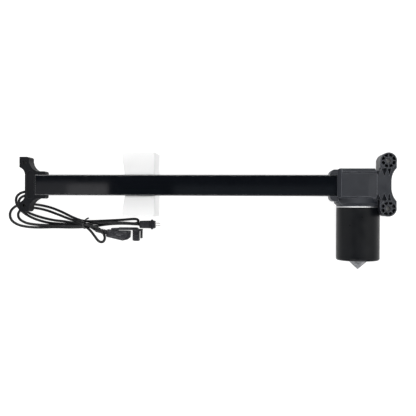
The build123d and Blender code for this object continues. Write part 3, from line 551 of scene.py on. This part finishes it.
for low, high in ((-0.0048, -0.0034), (0.0026, 0.0040)):
    # guide rails beside a raised panel
    slab(
        bm,
        connector_place,
        (start + 0.0125, low, 0.0040),
        (start + 0.0262, high, 0.0047),
        bevel=0.0003,
    )
slab(
    bm,
    connector_place,
    (start + 0.0140, -0.0022, 0.0040),
    (start + 0.0235, 0.0016, 0.0047),
    bevel=0.0004,
)
# hinge rail that meets the lock clip's bar
prism(
    bm,
    IN_PLACE,
    [(-0.1489, -0.0277), (-0.1380, -0.0273), (-0.1380, -0.0333), (-0.1489, -0.0320)],
    0.0003,
    0.0082,
    bevel=0.0008,
)
piece_from(bm, "connector_moulding", "housing", "plug_plastic", ["connector_shell"])

# ---- Lock clip ----

bm = bmesh.new()
slab(bm, IN_PLACE, (-0.1380, -0.0309, 0.0003), (-0.1062, -0.0272, 0.0083), bevel=0.0009)
slab(bm, IN_PLACE, (-0.1368, -0.0300, 0.0030), (-0.1075, -0.0266, 0.0058), bevel=0.0006)
slab(bm, IN_PLACE, (-0.1100, -0.0324, 0.0003), (-0.0996, -0.0289, 0.0083), bevel=0.0008)
prism(
    bm,
    IN_PLACE,
    [
        (-0.1150, -0.0300),
        (-0.1146, -0.0380),
        (-0.1138, -0.0462),
        (-0.1124, -0.0478),
        (-0.1054, -0.0478),
        (-0.1042, -0.0468),
        (-0.1044, -0.0380),
        (-0.1042, -0.0300),
    ],
    0.0003,
    0.0072,
    bevel=0.0005,
)
for low, high in ((-0.1146, -0.1122), (-0.1064, -0.1044)):
    slab(bm, IN_PLACE, (low, -0.0455, 0.0066), (high, -0.0312, 0.0083), bevel=0.0004)
slab(bm, IN_PLACE, (-0.1146, -0.0472, 0.0066), (-0.1044, -0.0448, 0.0083), bevel=0.0004)
slab(bm, IN_PLACE, (-0.1118, -0.0398, 0.0066), (-0.1068, -0.0388, 0.0079), bevel=0.0003)
slab(bm, IN_PLACE, (-0.1026, -0.0436, 0.0015), (-0.0996, -0.0310, 0.0071), bevel=0.0007)
piece_from(bm, "lock_clip", "housing", "plug_plastic", ["connector_lock_clip"])

# ---- Cable tie: a strap drawn tight round the six strands, its head and its twisted tail ----

TIE_X = -0.1924
STRAP_HALF = 0.0013
STRAP_STEPS = 96
STRAP_INNER = 0.00215
STRAP_SHOULDER = 0.00285
STRAP_OUTER = 0.0030
STRAP_ROUND = 0.0002
STRANDS = [
    (-0.0269, 0.0031),
    (-0.0225, 0.0031),
    (-0.0181, 0.0031),
    (-0.0246, 0.0069),
    (-0.0203, 0.0070),
    (-0.0225, 0.0106),
]
bm = bmesh.new()
hoops = []
for x, reach in (
    (-STRAP_HALF, STRAP_INNER),
    (-STRAP_HALF, STRAP_SHOULDER),
    (-STRAP_HALF + STRAP_ROUND, STRAP_OUTER),
    (STRAP_HALF - STRAP_ROUND, STRAP_OUTER),
    (STRAP_HALF, STRAP_SHOULDER),
    (STRAP_HALF, STRAP_INNER),
):
    hoop = []
    for i in range(STRAP_STEPS):
        angle = 2 * math.pi * i / STRAP_STEPS
        way = (math.cos(angle), math.sin(angle))
        y, z = max(STRANDS, key=lambda strand: strand[0] * way[0] + strand[1] * way[1])
        hoop.append(bm.verts.new((TIE_X + x, y + reach * way[0], z + reach * way[1])))
    hoops.append(hoop)
bridge(bm, hoops + hoops[:1])
HEAD_TILT = math.radians(-52)
head_place = Matrix.Translation((TIE_X, -0.0176, 0.0104)) @ Matrix.Rotation(HEAD_TILT, 4, "X")
slab(bm, head_place, (-0.0024, -0.0023, -0.0014), (0.0024, 0.0023, 0.0016), bevel=0.0005)
TAIL_STEPS = 60
TAIL_START = Vector((TIE_X, -0.0165, 0.0108))
TAIL_RUN = Vector((0.0094, 0.0044, 0.0010))
TAIL_SIDE = (-0.42, 0.907)  # level direction square to the tail
TAIL_RISE = 0.0006
TAIL_HALF_WIDTH = 0.0012
TAIL_HALF_THICKNESS = 0.00045
TAPER_FROM = 0.9
tail_rings = []
for i in range(TAIL_STEPS + 1):
    part = i / TAIL_STEPS
    centre = TAIL_START + TAIL_RUN * part
    centre.z += TAIL_RISE * math.sin(math.pi * part)
    twist = math.radians(40 + 200 * part)
    c, s = math.cos(twist), math.sin(twist)
    half = TAIL_HALF_WIDTH * (1.0 if part < TAPER_FROM else 1.0 - 5.0 * (part - TAPER_FROM))
    wide = Vector((TAIL_SIDE[0] * c, TAIL_SIDE[1] * c, s))
    thin = Vector((-TAIL_SIDE[0] * s, -TAIL_SIDE[1] * s, c))
    tail_rings.append(
        [
            bm.verts.new(centre + wide * (half * a) + thin * (TAIL_HALF_THICKNESS * b))
            for a, b in ((-1, -1), (1, -1), (1, 1), (-1, 1))
        ]
    )
bridge(bm, tail_rings)
bm.faces.new(tail_rings[0])
bm.faces.new(tail_rings[-1])
piece_from(bm, "tie_strap", "housing", "tie_nylon", ["cable_tie"])

# ---- Grommet where the leads leave the bracket ----

bm = bmesh.new()
for _, side, up in (PLUG_ROUTE[0], CONNECTOR_ROUTE[0]):
    # a flanged sleeve round each lead
    loft(
        bm,
        IN_PLACE,
        [
            (-0.2618, side, up, 0.0024, 0.0024, 2.0),
            (-0.2616, side, up, 0.0030, 0.0030, 2.0),
            (-0.2600, side, up, 0.0034, 0.0034, 2.0),
            (-0.2594, side, up, 0.0030, 0.0030, 2.0),
            (-0.2588, side, up, 0.0030, 0.0030, 2.0),
            (-0.2584, side, up, 0.0036, 0.0036, 2.0),
            (-0.2570, side, up, 0.0036, 0.0036, 2.0),
            (-0.2560, side, up, 0.0030, 0.0030, 2.0),
        ],
        segments=32,
    )
slab(bm, IN_PLACE, (-0.2602, 0.0199, 0.0329), (-0.2522, 0.0323, 0.0414), bevel=0.0012)
piece_from(bm, "lead_grommet", "housing", "cable_rubber", ["cable_grommet"])


# ---- Screw threads ----

THREAD_SEGMENTS = 40
RINGS_PER_PITCH = 10
FLANK_STEEPNESS = 7.0


def threaded(name, body, replaced, place, profile, thread):
    """A turned steel shaft with a right-hand helical thread.

    The profile is a list of (along, radius); the thread is (begin, end, core radius,
    crest radius, lead, starts).
    """
    bm = bmesh.new()
    begin, end, core, crest, lead, starts = thread
    pitch = lead / starts
    count = round((end - begin) / pitch * RINGS_PER_PITCH)
    first_rows = [(along, radius) for along, radius in profile if along < begin]
    threaded_rows = [begin + (end - begin) * i / count for i in range(count + 1)]
    last_rows = [(along, radius) for along, radius in profile if along > end]
    rings = []

    def ring(along, radius_at):
        """One ring of vertices whose radius may change with the angle."""
        made = []
        for i in range(THREAD_SEGMENTS):
            angle = 2 * math.pi * i / THREAD_SEGMENTS
            radius = radius_at(angle)
            spot = Vector((along, radius * math.cos(angle), radius * math.sin(angle)))
            made.append(bm.verts.new(place @ spot))
        return made

    for along, radius in first_rows:
        rings.append(ring(along, lambda angle, radius=radius: radius))
    for along in threaded_rows:
        fade = min(1.0, (along - begin) / pitch, (end - along) / pitch)

        def height(angle, along=along, fade=fade):
            """The thread's trapezoid section at an angle."""
            phase = ((along - begin) / pitch - starts * angle / (2 * math.pi)) % 1.0
            rise = min(1.0, max(0.0, 0.5 + (0.25 - abs(phase - 0.5)) * FLANK_STEEPNESS))
            return core + (crest - core) * rise * fade

        rings.append(ring(along, height))
    for along, radius in last_rows:
        rings.append(ring(along, lambda angle, radius=radius: radius))
    bridge(bm, rings)
    bm.faces.new(rings[0])
    bm.faces.new(rings[-1])
    piece_from(bm, name, body, "screw_steel", replaced, sharp=40)


screw_place = Matrix.Translation((0, RAIL_Y, RAIL_Z))
threaded(
    "threaded_screw",
    "screw",
    ["lead_screw"],
    screw_place,
    [
        (-0.2496, 0.0034),
        (-0.2490, 0.0040),
        (-0.2325, 0.0040),
        (-0.2320, 0.0043),
        (0.2132, 0.0050),
        (0.2140, 0.0050),
        (0.21401, 0.0040),
        (0.2494, 0.0040),
        (0.2500, 0.0034),
    ],
    (-0.2319, 0.2000, 0.0040, 0.0050, 0.006, 2),
)
worm_place = Matrix.Translation((MOTOR_X, 0, MOTOR_Z)) @ Matrix.Rotation(math.pi / 2, 4, "Z")
threaded(
    "worm",
    "rotor",
    ["worm_shaft"],
    worm_place,
    [
        (-0.0689, 0.0026),
        (-0.0685, 0.0030),
        (0.0225, 0.0030),
        (0.0230, 0.0037),
        (0.0520, 0.0030),
        (0.0572, 0.0030),
        (0.0576, 0.0026),
    ],
    (0.0240, 0.0510, 0.0030, 0.0037, math.pi / 1000, 1),
)


# ---- Leads ----

for lead, node in ((plug_lead, "plug_cord"), (connector_lead, "connector_cord")):
    lead.data.materials.append(SURFACES["cable_rubber"])
    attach(lead, "housing")
    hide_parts(node)


# ---- Floor, lights and surroundings ----

FLOOR_HALF = 4.0
FLOOR_DROP = 0.0003  # keeps the floor just clear of the feet
FLOOR_GREY = 0.35
FLOOR_GLOW = 0.82
floor_bm = bmesh.new()
bmesh.ops.create_grid(floor_bm, x_segments=8, y_segments=8, size=FLOOR_HALF)
floor_mesh = bpy.data.meshes.new("floor")
floor_bm.to_mesh(floor_mesh)
floor_bm.free()
floor = bpy.data.objects.new("floor", floor_mesh)
floor.location.z = -FLOOR_DROP
floor_paint = material(
    "floor_paint", (FLOOR_GREY,) * 3, 0.85, spread=0.01, blotch=0.3, specular=0.1, edge=0.0001
)
floor_shader = floor_paint.node_tree.nodes["Principled BSDF"]
floor_shader.inputs["Emission Color"].default_value = (1.0, 1.0, 1.0, 1.0)
floor_shader.inputs["Emission Strength"].default_value = FLOOR_GLOW
floor_mesh.materials.append(floor_paint)
bpy.context.scene.collection.objects.link(floor)


def area_light(name, at, size, power):
    """A rectangular area light facing straight down."""
    data = bpy.data.lights.new(name, "AREA")
    data.shape = "RECTANGLE"
    data.size, data.size_y = size
    data.energy = power
    lamp = bpy.data.objects.new(name, data)
    lamp.location = at
    bpy.context.scene.collection.objects.link(lamp)
    return lamp


def softbox(name, at, size, power, sheen_only=False):
    """An area light turned to the middle of the object; sheen_only shows in gloss alone."""
    lamp = area_light(name, at, size, power)
    lamp.rotation_euler = (-Vector(at)).to_track_quat("-Z", "Y").to_euler()
    lamp.visible_diffuse = not sheen_only


def sheen_card(name, at, size, power, colour):
    """A small overhead card that only shows as a soft reflection in the rail's flat front."""
    lamp = area_light(name, at, size, power)
    lamp.data.color = colour
    lamp.visible_diffuse = False


softbox("softbox_top", (0.0, 1.15, 0.85), (2.0, 0.7), 8.0)
softbox("softbox_bottom", (0.0, -1.15, 0.75), (2.0, 0.6), 7.5)
softbox("softbox_left", (-1.25, 0.1, 0.8), (0.7, 1.4), 4.5)
softbox("softbox_right", (1.3, 0.0, 0.95), (0.3, 1.4), 1.5)
softbox("strip_right", (1.3, 0.0, 0.95), (0.24, 1.4), 16.0, sheen_only=True)
softbox("strip_top", (0.0, 0.9, 1.3), (2.4, 0.5), 60.0, sheen_only=True)
softbox("strip_bottom", (0.0, -0.9, 1.3), (2.4, 0.4), 30.0, sheen_only=True)

# a soft front fill that the glossy blacks don't mirror
fill_data = bpy.data.lights.new("front_fill", "SUN")
fill_data.energy = 1.75
fill_data.angle = math.radians(40)
front_fill = bpy.data.objects.new("front_fill", fill_data)
front_fill.visible_glossy = False
bpy.context.scene.collection.objects.link(front_fill)


sheen_card("sheen_far_left", (-0.76, 0.063, 1.5), (0.20, 0.078), 0.022, (1.0, 0.98, 1.0))
sheen_card("sheen_left", (-0.58, 0.060, 1.5), (0.16, 0.072), 0.036, (1.0, 0.98, 1.0))
sheen_card("sheen_right", (0.05, 0.058, 1.5), (0.60, 0.060), 0.020, (0.8, 0.9, 1.0))

# the surroundings are pale low down and dark overhead
world = bpy.data.worlds.new("studio")
world.use_nodes = True
world_nodes = world.node_tree.nodes
world_link = world.node_tree.links.new
heading = world_nodes.new("ShaderNodeTexCoord")
parts_of = world_nodes.new("ShaderNodeSeparateXYZ")
world_link(heading.outputs["Generated"], parts_of.inputs["Vector"])
fade = world_nodes.new("ShaderNodeMapRange")
for setting, value in (("From Min", 0.10), ("From Max", 0.45), ("To Min", 0.72), ("To Max", 0.015)):
    fade.inputs[setting].default_value = value
world_nodes["Background"].inputs["Color"].default_value = (1.0, 1.0, 1.0, 1.0)
world_link(parts_of.outputs["Z"], fade.inputs["Value"])
world_link(fade.outputs["Result"], world_nodes["Background"].inputs["Strength"])
bpy.context.scene.world = world
bpy.context.scene.view_settings.view_transform = "Standard"
